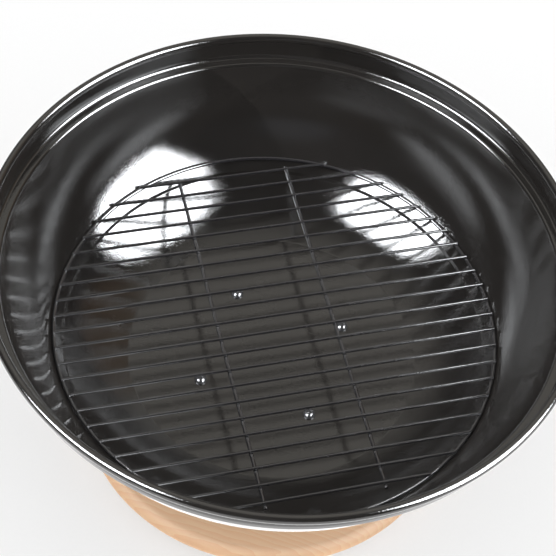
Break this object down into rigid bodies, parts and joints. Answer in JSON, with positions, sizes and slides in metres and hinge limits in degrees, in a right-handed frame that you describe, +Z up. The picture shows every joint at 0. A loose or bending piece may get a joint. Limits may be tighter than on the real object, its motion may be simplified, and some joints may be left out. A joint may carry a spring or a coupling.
{
  "type": "hibachi grill",
  "caption": "Round table-top hibachi charcoal grill: deep enamelled fire bowl with a rolled rim and a lift-out wire charcoal grate, standing on a round wooden base.",
  "frame": {"origin": "on the table, straight under the middle of the bowl", "axes": "+Z up, X and Y along the sides of the square of bowl screws"},
  "size_m": [0.453, 0.4529, 0.2226],
  "materials": {
    "enamel": "gloss",
    "dark_steel": "gloss",
    "bright_steel": "polished",
    "satin_steel": "satin",
    "heat_fibre": "matte",
    "light_wood": "satin",
    "grate_wire": "gloss",
    "foot_rubber": "matte"
  },
  "bodies": {
    "grill": {"bowl": "enamel", "bowl_screws": "dark_steel", "heat_washers": "heat_fibre", "spacer_1": "satin_steel", "spacer_2": "satin_steel", "spacer_3": "satin_steel", "spacer_4": "satin_steel", "base_board": "light_wood", "nut_washers": "bright_steel", "base_nuts": "bright_steel", "foot_1": "foot_rubber", "foot_2": "foot_rubber", "foot_3": "foot_rubber", "foot_4": "foot_rubber", "foot_screws": "bright_steel"},
    "charcoal_grate": {"grate_ring": "grate_wire", "grate_bar_1": "grate_wire", "grate_bar_2": "grate_wire", "grate_rod_01": "grate_wire", "grate_rod_02": "grate_wire", "grate_rod_03": "grate_wire", "grate_rod_04": "grate_wire", "grate_rod_05": "grate_wire", "grate_rod_06": "grate_wire", "grate_rod_07": "grate_wire", "grate_rod_08": "grate_wire", "grate_rod_09": "grate_wire", "grate_rod_10": "grate_wire", "grate_rod_11": "grate_wire", "grate_rod_12": "grate_wire", "grate_rod_13": "grate_wire", "grate_rod_14": "grate_wire", "grate_rod_15": "grate_wire", "grate_rod_16": "grate_wire", "grate_rod_17": "grate_wire", "grate_rod_18": "grate_wire", "grate_rod_19": "grate_wire", "grate_rod_20": "grate_wire", "grate_rod_21": "grate_wire", "grate_rod_22": "grate_wire"}
  },
  "joints": [
    {"name": "charcoal_grate_lift", "type": "slide", "parent": "grill", "child": "charcoal_grate", "axis": [0, 0, 1], "range_m": [0, 0.14]}
  ]
}
